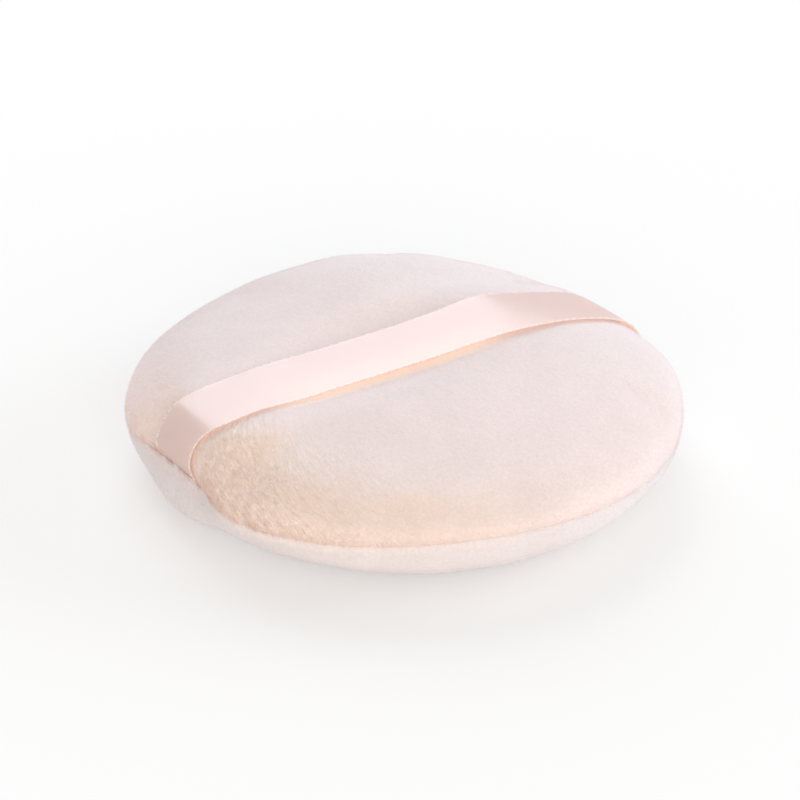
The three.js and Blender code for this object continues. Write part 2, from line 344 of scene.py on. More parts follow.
# Where the ribbon's front edge lies higher: over both shoulders, and near the middle of the crown
SHOULDER_TWIST = 1.0 * MM
SHOULDER_REACH = (14 * MM, 25 * MM)
MIDDLE_TWIST = 0.5 * MM
MIDDLE_PLACE = -2 * MM
MIDDLE_REACH = (8 * MM, 18 * MM)
TWIST_HEIGHTS = (1.5 * MM, 5 * MM)


def ribbon_twist(place):
    """How much higher the ribbon's front edge lies than its back edge."""
    shoulder = SHOULDER_TWIST * ease(abs(place.x), *SHOULDER_REACH)
    lifted = MIDDLE_TWIST * (1 - ease(abs(place.x - MIDDLE_PLACE), *MIDDLE_REACH))
    return (shoulder + lifted) * ease(place.y, *TWIST_HEIGHTS)


def facing(point, middle, spread):
    """1 in one direction from the middle of the puff, and 0 away from it."""
    return exp(-((turn(atan2(point.y, point.x) - middle) / spread) ** 2))


# The ribbon presses the cloth along lines from this depth under the seam
PRESS_DEPTH = 8.0 * MM
PRESS_EDGE = 5.5 * MM
PRESS_FADE = 12.0 * MM


class Press:
    """Where the ribbon holds the cloth, as directions and distances from a point under the crown."""

    def __init__(self, ribbon):
        line = [p for p in ribbon_line() if p.y > 1.0 * MM]
        seen = sorted((atan2(p.x, p.y + PRESS_DEPTH), hypot(p.x, p.y + PRESS_DEPTH)) for p in line)
        self.angles = [angle for angle, distance in seen]
        self.distances = [distance for angle, distance in seen]
        self.ribbon = ribbon

    def moved(self, point):
        """The point, drawn to the underside of the ribbon where that lies over it."""
        aside = abs(point.y - self.ribbon.offset)
        hold = 1 - ease(aside, PRESS_EDGE, PRESS_FADE)
        hold *= ease(point.z, -3 * MM, 0.5 * MM)
        if hold <= 0:
            return point
        angle = atan2(point.x, point.z + PRESS_DEPTH)
        gap = self.ribbon.gap
        gap += (self.ribbon.end_gap - gap) * ease(abs(point.x), 14 * MM, 24 * MM)
        across = min(max((point.y - self.ribbon.offset) / self.ribbon.width, -0.6), 0.6)
        wanted = np.interp(angle, self.angles, self.distances) - gap
        wanted -= across * ribbon_twist(Vector((point.x, point.z)))
        distance = hypot(point.x, point.z + PRESS_DEPTH)
        distance += hold * (wanted - distance)
        return Vector((distance * sin(angle), point.y, distance * cos(angle) - PRESS_DEPTH))


def end_pull(angle, shape):
    """1 at the ribbon's two ends on the rim, and 0 away from them."""
    along_rim = shape.radius * atan2(sin(angle), abs(cos(angle)))
    return exp(-((along_rim / shape.pull_spread) ** 2))


# The part of the seam that lies higher
RISE_MIDDLE = radians(255)
RISE_SPREAD = radians(35)


def front_rise(angle, shape):
    """How far the seam lies higher at an angle round the rim."""
    return shape.front_rise * exp(-((turn(angle - RISE_MIDDLE) / RISE_SPREAD) ** 2))


# Height of the cloth's ground over the table, on its flattened pile
RESTING_PILE = 0.3 * MM

# The part of the seam that the ribbon's left end folds in
FOLD_MIDDLE = radians(180)
FOLD_SPREAD = radians(15)


class CushionForm:
    """The stuffed cushion as a form: a direction from its middle gives a point of its cloth."""

    def __init__(self, shape, ribbon):
        self.shape = shape
        self.press = Press(ribbon)
        self.floor = RESTING_PILE - shape.seam_height
        self.outlines = {
            1: cover_profile(shape, shape.crown_height, shape.crown_fullness),
            -1: cover_profile(shape, shape.base_depth, shape.base_fullness),
        }

    def point(self, direction, inset=0.0):
        """A point of the cloth, over the middle of the seam plane."""
        side = 1 if direction.z >= 0 else -1
        angle = atan2(direction.y, direction.x)
        share = 1 - asin(min(abs(direction.z), 1.0)) / (pi / 2)
        return self.at(side, angle, share, inset)

    def at(self, side, angle, share, inset=0.0):
        """A point of one cover: an angle round the rim, and a share of the way out to the seam."""
        shape = self.shape
        across, up = self.outlines[side]
        steps = np.linspace(0, 1, len(across))
        r = float(np.interp(share, steps, across))
        h = float(np.interp(share, steps, up))
        if side > 0:
            amount = swelling(CROWN_SWELLS, angle, shape.radius)
            amount *= ease(r, 0.15 * shape.radius, 0.8 * shape.radius)
            amount *= 1 - 0.6 * ease(r, 0.88 * shape.radius, shape.radius)
            r += 0.5 * amount * ease(h, 0, shape.lip_height)
            h += 0.86 * amount * ease(h, 0, shape.lip_height)
        else:
            amount = swelling(BASE_SWELLS, angle, shape.radius) * ease(h, 1 * MM, 6 * MM)
            r += amount * ease(r, 0.35 * shape.radius, 0.75 * shape.radius)
        r += swelling(RIM_SWELLS, angle, shape.radius) * ease(r, 0.6 * shape.radius, shape.radius)
        pull = end_pull(angle, shape) * ease(r, 0.55 * shape.radius, shape.radius)
        r -= shape.pull_in * pull * (1.0 if cos(angle) < 0 else 0.5)
        folded = facing(Vector((cos(angle), sin(angle))), FOLD_MIDDLE, FOLD_SPREAD)
        r -= shape.pinch * folded * (1 - ease(h, 0, shape.lip_height))
        z = side * h
        if cos(angle) < 0:
            z += shape.left_rise * pull * ease(z, -4 * MM, 0)
        z += front_rise(angle, shape) * (1 - ease(abs(z), 0, 5 * MM))
        point = Vector((r * cos(angle), r * sin(angle), max(z, self.floor)))
        point = self.press.moved(point)
        if inset:
            middle = Vector((0, 0, 0.3 * side * shape.crown_height))
            point += (middle - point).normalized() * inset
        return point


def tidy(work):
    """Joins doubled vertices, turns the faces outwards and shades them smooth."""
    bmesh.ops.remove_doubles(work, verts=work.verts, dist=0.001 * MM)
    bmesh.ops.recalc_face_normals(work, faces=work.faces)
    for face in work.faces:
        face.smooth = True


def ball(cells):
    """A round ball of even square cells, from a cube."""
    work = bmesh.new()
    bmesh.ops.create_cube(work, size=2.0)
    bmesh.ops.subdivide_edges(work, edges=work.edges, cuts=cells - 1, use_grid_fill=True)
    for vertex in work.verts:
        vertex.co = Vector([tan(c * pi / 4) for c in vertex.co]).normalized()
    return work


def placed(name, data):
    """A new object in the scene."""
    piece = bpy.data.objects.new(name, data)
    bpy.context.scene.collection.objects.link(piece)
    return piece


def add_object(name, work):
    """Turns a bmesh into an object in the scene."""
    mesh = bpy.data.meshes.new(name)
    work.to_mesh(mesh)
    work.free()
    return placed(name, mesh)


def evaluated_mesh(piece):
    """A copy of the piece's mesh with its modifiers applied."""
    graph = bpy.context.evaluated_depsgraph_get()
    return bpy.data.meshes.new_from_object(piece.evaluated_get(graph))


# Stuffing: the bag is blown up at ten times its size, where cloth behaves as it does on a large cushion
SIM_SCALE = 10.0
SIM_FRAMES = 20
MOST_MOVE = 0.3 * MM


def stuff(bag, seam_rows):
    """Fills the bag by a short cloth simulation that holds the seam, and caps how far the cloth moves."""
    rest = [vertex.co.copy() for vertex in bag.data.vertices]
    bag.data.transform(Matrix.Scale(SIM_SCALE, 4))
    held = bag.vertex_groups.new(name="seam")
    held.add(seam_rows, 1.0, "REPLACE")
    cloth = bag.modifiers.new("Stuffing", "CLOTH")
    cloth.settings.vertex_group_mass = held.name
    cloth.settings.mass = 0.05
    cloth.settings.use_pressure = True
    cloth.settings.uniform_pressure_force = 4.0
    cloth.settings.shrink_min = -0.01
    cloth.settings.tension_stiffness = 12
    cloth.settings.bending_stiffness = 0.4
    cloth.settings.effector_weights.gravity = 0.0
    cloth.point_cache.frame_start = 1
    cloth.point_cache.frame_end = SIM_FRAMES
    for frame_number in range(1, SIM_FRAMES + 1):
        bpy.context.scene.frame_set(frame_number)
    filled = evaluated_mesh(bag)
    moved = [vertex.co / SIM_SCALE for vertex in filled.vertices]
    bag.modifiers.remove(cloth)
    bpy.data.meshes.remove(filled)
    bpy.context.scene.frame_set(1)
    for vertex, start, end in zip(bag.data.vertices, rest, moved):
        step = end - start
        if step.length > MOST_MOVE:
            step *= MOST_MOVE / step.length
        vertex.co = start + step
    bag.vertex_groups.clear()


# Vertices of a ball that are this near its middle plane lie on the seam
SEAM_ROW = 1e-5


def stuffed_bag(form, cells):
    """Both covers as one closed bag, stuffed, over the middle of the seam plane."""
    work = ball(cells)
    for vertex in work.verts:
        vertex.co = form.point(vertex.co)
    bag = add_object("bag", work)
    stuff(bag, on_seam(form.shape.cells))
    for vertex in bag.data.vertices:
        vertex.co = form.press.moved(vertex.co)
        vertex.co.z = max(vertex.co.z, form.floor)
    return bag


def on_seam(cells):
    """The numbers of the bag's vertices on the seam."""
    work = ball(cells)
    work.verts.index_update()
    numbers = [vertex.index for vertex in work.verts if abs(vertex.co.z) < SEAM_ROW]
    work.free()
    return numbers


# The nap: how the pile lies on each part of the cloth
NAP_MIDDLE = radians(196)
NAP_SPREAD = radians(30)
NAP_SLANT = radians(42)
ROW_SPACING = 0.55 * MM
ROW_LENGTH = 1.6 * MM
CURL_SIZE = 1.1 * MM
SPECKLE = 0.7 * MM
FLAT_PILE = 0.3
STEEP_PILE = 0.48
LOWER_PILE = 0.45
SEAM_TUFTS = 2.6 * MM
PILE_SINK = 0.08 * MM


def parting(point, shape):
    """How far the pile parts into rows: most on the shoulder that faces front and left."""
    shoulder = ease(hypot(point.x, point.y), 0.6 * shape.radius, 0.86 * shape.radius)
    upper = 0.3 + 0.7 * ease(over_seam(point, shape), -1.5 * MM, 0.5 * MM)
    faint = 0.1 * facing(point, NAP_MIDDLE, 3 * NAP_SPREAD)
    return shoulder * upper * (faint + 0.9 * facing(point, NAP_MIDDLE, NAP_SPREAD))


def nap_place(point, shape):
    """A place on the cloth, in steps along and across the rows of the nap."""
    around = shape.radius * turn(atan2(point.y, point.x) - NAP_MIDDLE)
    down = hypot(point.x, point.y) + shape.crown_height - point.z
    along = around * cos(NAP_SLANT) + down * sin(NAP_SLANT)
    across = down * cos(NAP_SLANT) - around * sin(NAP_SLANT)
    return Vector((along / ROW_LENGTH, across / ROW_SPACING, 0))


def tuft_height(point, shape):
    """Relief of the nap at a point, from about -1 to 1."""
    warp = 0.35 * noise.noise(point / (3.0 * MM))
    rows = noise.noise(0.75 * nap_place(point, shape) + Vector((0, warp, 0)))
    curls = noise.noise(point / CURL_SIZE + Vector((warp, -warp, 4.0)))
    speckle = noise.noise(point / SPECKLE)
    near_seam = 1 - ease(abs(over_seam(point, shape)), 1.5 * MM, 4.5 * MM)
    return 0.18 * speckle + parting(point, shape) * (1.1 * rows + (0.6 + 0.6 * near_seam) * curls)


def steepness(normal):
    """0 on the flat of a cover, and 1 from the start of its shoulder to the seam."""
    return 1 - ease(abs(normal.z), 0.88, 0.975)


def pile_share(point, normal, shape, covered):
    """Length of the pile at a point, as a share of its greatest length."""
    part = parting(point, shape)
    share = FLAT_PILE + (STEEP_PILE - FLAT_PILE) * steepness(normal)
    share += (1 - share) * part
    height = over_seam(point, shape)
    if height < 0:
        share = LOWER_PILE
    at_seam = max(part, 0.5) * (1 - ease(abs(height), 0.5 * SEAM_TUFTS, SEAM_TUFTS))
    share += 0.5 * at_seam
    return share * (1 - 0.6 * covered)


# The part of the shoulder where the pile is seen from its side, and where warm light is painted into its
# colour
SIDE_MIDDLE = radians(213)
SIDE_SPREAD = radians(58)


def over_seam(point, shape):
    """Height of a point over the seam, which lies higher along the front and at the ribbon's left end."""
    angle = atan2(point.y, point.x)
    rise = front_rise(angle, shape)
    if point.x < 0:
        rise += shape.left_rise * end_pull(angle, shape)
    return point.z - rise


def fringe(point, shape):
    """1 beside the seam, where the pile of both covers stands thickest, and 0 away from it."""
    return 1 - ease(abs(over_seam(point, shape)), 0.25 * MM, 1.0 * MM)


def painted_warm_side(point, normal, shape, side):
    """1 where the pile is seen from its side, and 0 away from there: warm light is painted here on the
    shoulder that faces the front. It fades out below the seam.
    """
    share = max(ease(-normal.z, -0.985, -0.86), parting(point, shape))
    if side < 0:
        ragged = 0.5 * MM * noise.noise(point / (1.3 * MM))
        share = 1 - ease(ragged - over_seam(point, shape), 0.2 * MM, 1.5 * MM)
    turned = ease(facing(point, SIDE_MIDDLE, SIDE_SPREAD), 0.1, 1.0)
    return share * turned * (1 - 0.5 * fringe(point, shape))


def painted_fold_shade(point, shape):
    """1 in the fold at the seam, mostly beside the ribbon's left end, and broken into dashes, where shade is
    painted.
    """
    fold = 1 - ease(abs(over_seam(point, shape)), 0.25 * MM, 0.9 * MM)
    dashes = ease(noise.noise(point / (1.1 * MM)), -0.3, 0.2)
    return fold * dashes * (0.1 + 0.9 * facing(point, FOLD_MIDDLE, FOLD_SPREAD))


def bare(point, ribbon):
    """1 where the ribbon lies on the cloth, and 0 away from it."""
    aside = abs(point.y - ribbon.offset)
    return (1 - ease(aside, 0.5 * ribbon.width, 0.62 * ribbon.width)) * ease(point.z, -1 * MM, 1 * MM)


def under_edge(point, ribbon):
    """1 under the raised front edge of the ribbon, where a glow and a warm tint are painted, and 0 away from
    it.
    """
    edge = point.y - ribbon.offset + 0.5 * ribbon.width
    strip = ease(edge, -1.3 * MM, -0.4 * MM)
    return strip * (1 - ease(abs(point.x + 4 * MM), 12 * MM, 20 * MM)) * ease(-point.y, -1 * MM, 1 * MM)


def cover_half(bag, side, shape):
    """One side of the stuffed bag, finely subdivided, open at the seam."""
    work = bmesh.new()
    work.from_mesh(bag.data)
    reference = ball(shape.cells)
    reference.verts.ensure_lookup_table()
    work.verts.ensure_lookup_table()
    other = [v for v in work.verts if side * reference.verts[v.index].co.z < -SEAM_ROW]
    reference.free()
    bmesh.ops.delete(work, geom=other, context="VERTS")
    half = add_object("half", work)
    fine = half.modifiers.new("Fine", "SUBSURF")
    fine.levels = shape.levels
    fine.render_levels = shape.levels
    mesh = evaluated_mesh(half)
    bpy.data.objects.remove(half)
    return mesh


# Rows of cells on the inner wall, and shares of the way out where it starts and the turned-in edge ends
INNER_ROWS = 9
INNER_START = 0.96
TURNED_END = 0.985


def close_cover(work, form, side):
    """Turns the cloth in behind the seam and gives it an inner wall."""
    shape = form.shape
    rim = [edge for edge in work.edges if edge.is_boundary]
    for edge in rim:
        edge.smooth = False
    lift = Vector((0, 0, side * shape.seam_gap / 2))
    for vertex in {v for edge in rim for v in edge.verts}:
        vertex.co += lift
    stations = [(1.0, shape.allowance), (TURNED_END, shape.allowance)]
    stations += [(INNER_START * (1 - i / INNER_ROWS), shape.wall) for i in range(INNER_ROWS)]
    for number, (share, inset) in enumerate(stations):
        made = bmesh.ops.extrude_edge_only(work, edges=rim)
        rim = [item for item in made["geom"] if isinstance(item, bmesh.types.BMEdge)]
        for vertex in {v for edge in rim for v in edge.verts}:
            angle = atan2(vertex.co.y, vertex.co.x)
            place = form.at(side, angle, share, 0.0 if number < 2 else inset)
            if number < 2:
                flat = Vector((place.x, place.y, 0))
                place -= flat.normalized() * inset
                if number == 0:
                    place += lift
            vertex.co = place
    middle = form.at(side, 0.0, 0.0, shape.wall)
    last = list({v for edge in rim for v in edge.verts})
    bmesh.ops.pointmerge(work, verts=last, merge_co=middle)


NUMBERS = ("tuft", "pile", "dense", "side", "crown", "parting", "seam", "glow")


def make_cover(name, bag, form, side, ribbon, pile):
    """One velour cover with its tufts, turned-in edge and inner wall."""
    shape = form.shape
    mesh = cover_half(bag, side, shape)
    work = bmesh.new()
    work.from_mesh(mesh)
    bpy.data.meshes.remove(mesh)
    work.normal_update()
    number = work.verts.layers.float
    direction = work.verts.layers.float_vector
    layers = {key: number.new(key) for key in NUMBERS}
    layers.update({key: direction.new(key) for key in ("nap", "rows")})
    moves = []
    for vertex in work.verts:
        covered = bare(vertex.co, ribbon) if side > 0 else 0.0
        height = tuft_height(vertex.co, shape) * (1 - 0.8 * covered)
        # Where a glow and a warm tint are painted under the ribbon's edge
        glow = under_edge(vertex.co, ribbon) if side > 0 else 0.0
        around = Vector((-vertex.co.y, vertex.co.x, 0)).normalized()
        downhill = around.cross(vertex.normal)
        slanted = around * cos(NAP_SLANT) + downhill * sin(NAP_SLANT)
        hanging = fringe(vertex.co, shape)
        # Painted warm light on the front shoulder, and a painted warm tint under the ribbon's edge
        painted_warm = max(painted_warm_side(vertex.co, vertex.normal, shape, side), glow)
        values = {
            "tuft": height,
            "pile": pile_share(vertex.co, vertex.normal, shape, covered),
            "dense": (0.25 + 0.75 * steepness(vertex.normal)) * (1 + hanging),
            "side": painted_warm,
            "crown": 1 - painted_warm if side > 0 else 1.0,
            "parting": parting(vertex.co, shape),
            "seam": painted_fold_shade(vertex.co, shape),
            "glow": glow,
            "nap": slanted.lerp(2.5 * side * downhill, hanging),
            "rows": nap_place(vertex.co, shape),
        }
        for layer, value in values.items():
            vertex[layers[layer]] = value
        moves.append(vertex.normal * (height * pile.tuft - PILE_SINK))
    for vertex, move in zip(work.verts, moves):
        vertex.co += move
    outer = len(work.verts)
    close_cover(work, form, side)
    work.verts.ensure_lookup_table()
    for vertex in work.verts[outer:]:
        for layer in ("pile", "side", "crown", "seam", "glow"):
            vertex[layers[layer]] = 0.0
    tidy(work)
    bmesh.ops.translate(work, verts=work.verts, vec=(0, 0, shape.seam_height))
    return add_object(name, work)


# Painted glow: an emission colour that stands in for the light the ribbon lets through, under its front edge
PAINTED_GLOW = (0.13, 0.125, 0.1, 1.0)

# Grazing light on the pile is cooler than its own colour
SHEEN = (0.85, 0.88, 0.97, 1.0)

# Light that passes through the fibres of each layer
COOL_LIGHT = (0.95, 0.93, 0.94, 1.0)
WARM_LIGHT = (0.97, 0.89, 0.83, 1.0)
LOWER_LIGHT = (0.95, 0.91, 0.89, 1.0)


def velour_look(name, colours, tips):
    """Short dense pile: pale tips, a deeper ground that is partly painted shade between the tufts, and a
    soft sheen. Painted warm light on the side that faces the front, painted shade in the seam's fold and a
    painted glow under the ribbon's edge.
    """
    material, look = new_look(name)
    place = look.coordinates()
    grain = look.node("ShaderNodeTexNoise", {}, Vector=place, Scale=2600.0, Detail=3.0, Roughness=0.65)
    patch = look.node("ShaderNodeTexNoise", {}, Vector=place, Scale=160.0, Detail=2.0)

    def painted(attribute):
        return look.node("ShaderNodeAttribute", {"attribute_name": attribute}, give="Fac")

    rows = look.node("ShaderNodeAttribute", {"attribute_name": "rows"}, give="Vector")
    apart = look.node("ShaderNodeTexVoronoi", {"voronoi_dimensions": "2D"}, Vector=rows, Scale=1.0)
    gaps = painted("parting") * (apart - 0.42)
    # Low tufts and the gaps between parted rows take the ground colour: partly its own, partly painted shade
    tone = 0.92 + 0.25 * painted("tuft") + 0.2 * (grain - 0.5) + 0.2 * (patch - 0.5) - 1.1 * gaps
    tone = tone.clamped()
    # Painted warm light where the side share is high
    colour = look.mix(colours.velour_ground_shade, look.mix(tips, colours.velour_painted_warm, painted("side")), tone)
    fuzz = 1 + 0.22 * (grain - 0.5) + 0.1 * (patch - 0.5)
    colour = look.node("ShaderNodeVectorMath", {"operation": "SCALE"}, colour, Scale=fuzz)
    # Painted shade in the seam's fold
    colour = look.mix(colour, colours.fold, painted("seam"))
    # Painted glow under the ribbon's front edge
    gathered = look.mix((0.0, 0.0, 0.0, 1.0), PAINTED_GLOW, painted("glow"))
    bump = look.node("ShaderNodeBump", {}, Strength=0.6, Distance=0.12 * MM, Height=grain)
    bump = look.node("ShaderNodeBump", {}, Strength=0.7, Distance=0.35 * MM, Height=-1 * gaps, Normal=bump)
    shader = look.node(
        "ShaderNodeBsdfPrincipled", {}, Base_Color=colour, Roughness=0.95 - 0.1 * grain, Normal=bump,
        Specular_IOR_Level=0.1, Sheen_Weight=0.55, Sheen_Roughness=0.5, Sheen_Tint=SHEEN,
        Emission_Color=gathered, Emission_Strength=1.0,
    )
    show(look, shader)
    return material


def fibre_look(name, colour, through):
    """A fibre of the pile, and the colour of light that passes through it."""
    material, look = new_look(name)
    solid = look.node(
        "ShaderNodeBsdfPrincipled", {}, Base_Color=colour, Roughness=0.85,
        Specular_IOR_Level=0.1, Sheen_Weight=0.3, Sheen_Roughness=0.5, Sheen_Tint=SHEEN,
    )
    passing = look.node("ShaderNodeBsdfTranslucent", {}, Color=through)
    show(look, look.node("ShaderNodeMixShader", {}, 0.55, solid, passing))
    return material


class PUFF_OT_covers(Operator):
    """Stuffs the bag and makes its upper and lower velour covers"""

    bl_idname = "puff.covers"
    bl_label = "Velour Covers"

    def execute(self, context):
        scene = context.scene
        form = CushionForm(scene.puff_shape, scene.puff_ribbon)
        bag = stuffed_bag(form, scene.puff_shape.cells)
        colours = scene.puff_colours
        covers = (
            ("upper_velour", 1, "top_cover", colours.velour),
            # The lower cover takes the painted light and shade tone
            ("lower_velour", -1, "bottom_cover", colours.velour_low_painted_light),
        )
        for name, side, node, tips in covers:
            cover = make_cover(name, bag, form, side, scene.puff_ribbon, scene.puff_pile)
            cover.data.materials.append(velour_look(name, colours, tips))
            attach(cover, "puff")
            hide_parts(node)
        bpy.data.objects.remove(bag)
        return {"FINISHED"}


# How far a fibre strays from the nap: by chance, with the curls, and with its own tuft
STRAY = 0.35
SWIRL = 0.6
TUFT_LEAN = 1.3

# Shortest and longest fibre beside each other
FIBRE_LENGTHS = (0.55, 1.1)


def needle(pile):
    """One tapered fibre, standing on its root."""
    work = bmesh.new()
    bmesh.ops.create_cone(
        work, segments=3, cap_ends=True, cap_tris=False, radius1=pile.thickness / 2, radius2=0.0,
        depth=pile.length, matrix=Matrix.Translation((0, 0, pile.length / 2)),
    )
    bmesh.ops.remove_doubles(work, verts=work.verts, dist=pile.thickness / 10)
    return add_object("needle", work)


def pile_nodes(pile, fibre, zone, density, seed):
    """Geometry nodes that stand a fibre on each of many points of the cloth, leaning with the nap."""
    tree = bpy.data.node_groups.new("pile", "GeometryNodeTree")
    tree.interface.new_socket("Geometry", in_out="INPUT", socket_type="NodeSocketGeometry")
    tree.interface.new_socket("Geometry", in_out="OUTPUT", socket_type="NodeSocketGeometry")
    look = Look(tree)
    cloth = look.node("NodeGroupInput", {})

    def painted(layer, kind="FLOAT"):
        return look.node("GeometryNodeInputNamedAttribute", {"data_type": kind}, Name=layer)

    def vector(operation, *values):
        return look.node("ShaderNodeVectorMath", {"operation": operation}, *values)

    parted = painted("parting")
    roots = look.node(
        "GeometryNodeDistributePointsOnFaces", {"distribute_method": "RANDOM"},
        Mesh=cloth, Density=painted(zone) * painted("dense") * density, Seed=seed,
    )
    normal = roots.output("Normal")
    place = look.node("GeometryNodeInputPosition", {})
    curl = look.node("ShaderNodeTexNoise", {}, Vector=place, Scale=900.0, Detail=1.0, give="Color")
    stray = look.node(
        "FunctionNodeRandomValue", {"data_type": "FLOAT_VECTOR"},
        Min=(-STRAY, -STRAY, -STRAY), Max=(STRAY, STRAY, STRAY), Seed=seed + 1,
    )
    swirl = vector("SUBTRACT", curl, (0.5, 0.5, 0.5))
    swirl = vector("SCALE", swirl, SWIRL)
    lean = vector("SCALE", painted("nap", "FLOAT_VECTOR"), pile.lean * (1 + 1.5 * parted))
    rows = painted("rows", "FLOAT_VECTOR")
    apart = look.node("ShaderNodeTexVoronoi", {"voronoi_dimensions": "2D"}, Vector=rows, Scale=1.0)
    own = vector("SUBTRACT", apart.output("Color"), (0.5, 0.5, 0.5))
    own = vector("SCALE", own, TUFT_LEAN * parted)
    way = normal
    for part in (lean, own, swirl, stray):
        way = vector("ADD", way, part)
    turned = look.node("FunctionNodeAlignRotationToVector", {"axis": "Z"}, Vector=way)
    shortest, longest = FIBRE_LENGTHS
    length = look.node(
        "FunctionNodeRandomValue", {"data_type": "FLOAT"}, Min=shortest, Max=longest, Seed=seed + 2,
    )
    tufted = 1 + parted * (0.4 - 1.2 * apart)
    size = look.node("ShaderNodeCombineXYZ", {}, X=1.0, Y=1.0, Z=length * painted("pile") * tufted)
    shape = look.node("GeometryNodeObjectInfo", {}, Object=fibre, give="Geometry")
    stand = look.node(
        "GeometryNodeInstanceOnPoints", {}, Points=roots, Instance=shape, Rotation=turned, Scale=size,
    )
    made = look.node("GeometryNodeRealizeInstances", {}, Geometry=stand)
    look.node("NodeGroupOutput", {}, Geometry=made)
    return tree


def make_pile(name, cover, zone, pile, fibre, seed):
    """A layer of fibres on one zone of a cover."""
    share = cover.data.attributes[zone].data
    dense = cover.data.attributes["dense"].data
    area = 0.0
    for face in cover.data.polygons:
        corner = face.vertices[0]
        area += face.area * share[corner].value * dense[corner].value
    tree = pile_nodes(pile, fibre, zone, pile.fibres / area, seed)
    carrier = placed("carrier", cover.data)
    grow = carrier.modifiers.new("Pile", "NODES")
    grow.node_group = tree
    mesh = evaluated_mesh(carrier)
    mesh.name = name
    bpy.data.objects.remove(carrier)
    bpy.data.node_groups.remove(tree)
    return placed(name, mesh)


class PUFF_OT_pile(Operator):
    """Grows the velour's pile on both covers"""

    bl_idname = "puff.pile"
    bl_label = "Velour Pile"

    def execute(self, context):
        scene = context.scene
        colours = scene.puff_colours
        fibre = needle(scene.puff_pile)
        layers = (
            ("upper_pile_crown", "upper_velour", "crown", colours.velour, COOL_LIGHT),
            # The side layer's fibres carry the painted warm light
            ("upper_pile_side", "upper_velour", "side", colours.velour_painted_warm, WARM_LIGHT),
            # The lower pile takes the painted light and shade tone
            ("lower_pile", "lower_velour", "crown", colours.velour_low_painted_light, LOWER_LIGHT),
        )
        for seed, (name, cover_name, zone, colour, through) in enumerate(layers):
            cover = bpy.data.objects[cover_name]
            layer = make_pile(name, cover, zone, scene.puff_pile, fibre, 10 * seed + 3)
            layer.data.materials.clear()
            layer.data.materials.append(fibre_look(name + "_fibre", tuple(colour), through))
            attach(layer, "puff")
        bpy.data.objects.remove(fibre)
        return {"FINISHED"}


# Ribbon

RIBBON_STEP = 0.4 * MM
RIBBON_STRIPS = 24
PICOT_RADIUS = 0.2 * MM
PICOT_REACH = 0.506
SELVEDGE = 0.7 * MM
GROOVE_WIDTH = 0.12 * MM
WARP_PITCH = 0.5 * MM

# Light that passes through the satin: its colour, and its share on the face and on the reverse
SATIN_LIGHT = (1.0, 0.83, 0.73, 1.0)
FACE_PASSING = 0.4
REVERSE_PASSING = 0.85

# How far from the middle the ribbon starts to bend when it lifts
BEND_START = 30 * MM

# How the ribbon's left end is gathered and shifted where it turns down
LEFT_TURN = (27 * MM, 33 * MM)
LEFT_GATHER = 0.14
LEFT_SHIFT = 0.6 * MM
BOW = 0.1 * MM


def ribbon_half_line(side):
    """The ribbon's middle line from the crown to one sewn end, evenly stepped, and its length."""
    line = ribbon_line()
    middle = min(range(len(line)), key=lambda i: abs(line[i].x))
    half = line[:middle + 1][::-1] if side < 0 else line[middle:]
    half[0] = Vector((0.0, half[0].y))
    lengths = np.append(0, np.cumsum([(b - a).length for a, b in zip(half, half[1:])]))
    count = round(lengths[-1] / RIBBON_STEP)
    even = np.linspace(0, lengths[-1], count + 1)
    xs = np.interp(even, lengths, [p.x for p in half])
    zs = np.interp(even, lengths, [p.y for p in half])
    return [Vector((x, z)) for x, z in zip(xs, zs)], float(lengths[-1])


def ribbon_point(line, step, across, side, ribbon):
    """A point of the ribbon: a step along its middle line, and a share of its width to one side."""
    here = line[step]
    after = line[min(step + 1, len(line) - 1)]
    before = line[max(step - 1, 0)]
    tangent = (after - before).normalized()
    up = Vector((-tangent.y, tangent.x)) * side
    bow = -BOW * (2 * across) ** 2
    place = here + up * (bow - across * ribbon_twist(here))
    turned = ease(-here.x, *LEFT_TURN)
    gathered = 1 - LEFT_GATHER * turned
    aside = ribbon.offset + LEFT_SHIFT * turned
    return Vector((place.x, aside + across * ribbon.width * gathered, place.y))


def add_picots(work, weave, line, length, side, ribbon):
    """Small thread loops along both selvedges."""
    count = int(length / ribbon.picot)
    for number in range(count):
        step = round((number + 0.5) / count * (len(line) - 1))
        for across in (-PICOT_REACH, PICOT_REACH):
            place = ribbon_point(line, step, across, side, ribbon)
            fullness = 0.75 + 0.4 * noise.noise(place / ribbon.picot)
            spot = Matrix.Translation(place) @ Matrix.Diagonal((1.0, 0.7, 0.6, 1.0))
            spot @= Matrix.Scale(fullness, 4)
            made = bmesh.ops.create_icosphere(work, subdivisions=1, radius=PICOT_RADIUS, matrix=spot)
            for face in {face for vertex in made["verts"] for face in vertex.link_faces}:
                face.material_index = 2
                for loop in face.loops:
                    loop[weave].uv = (side * step * RIBBON_STEP, across * ribbon.width)


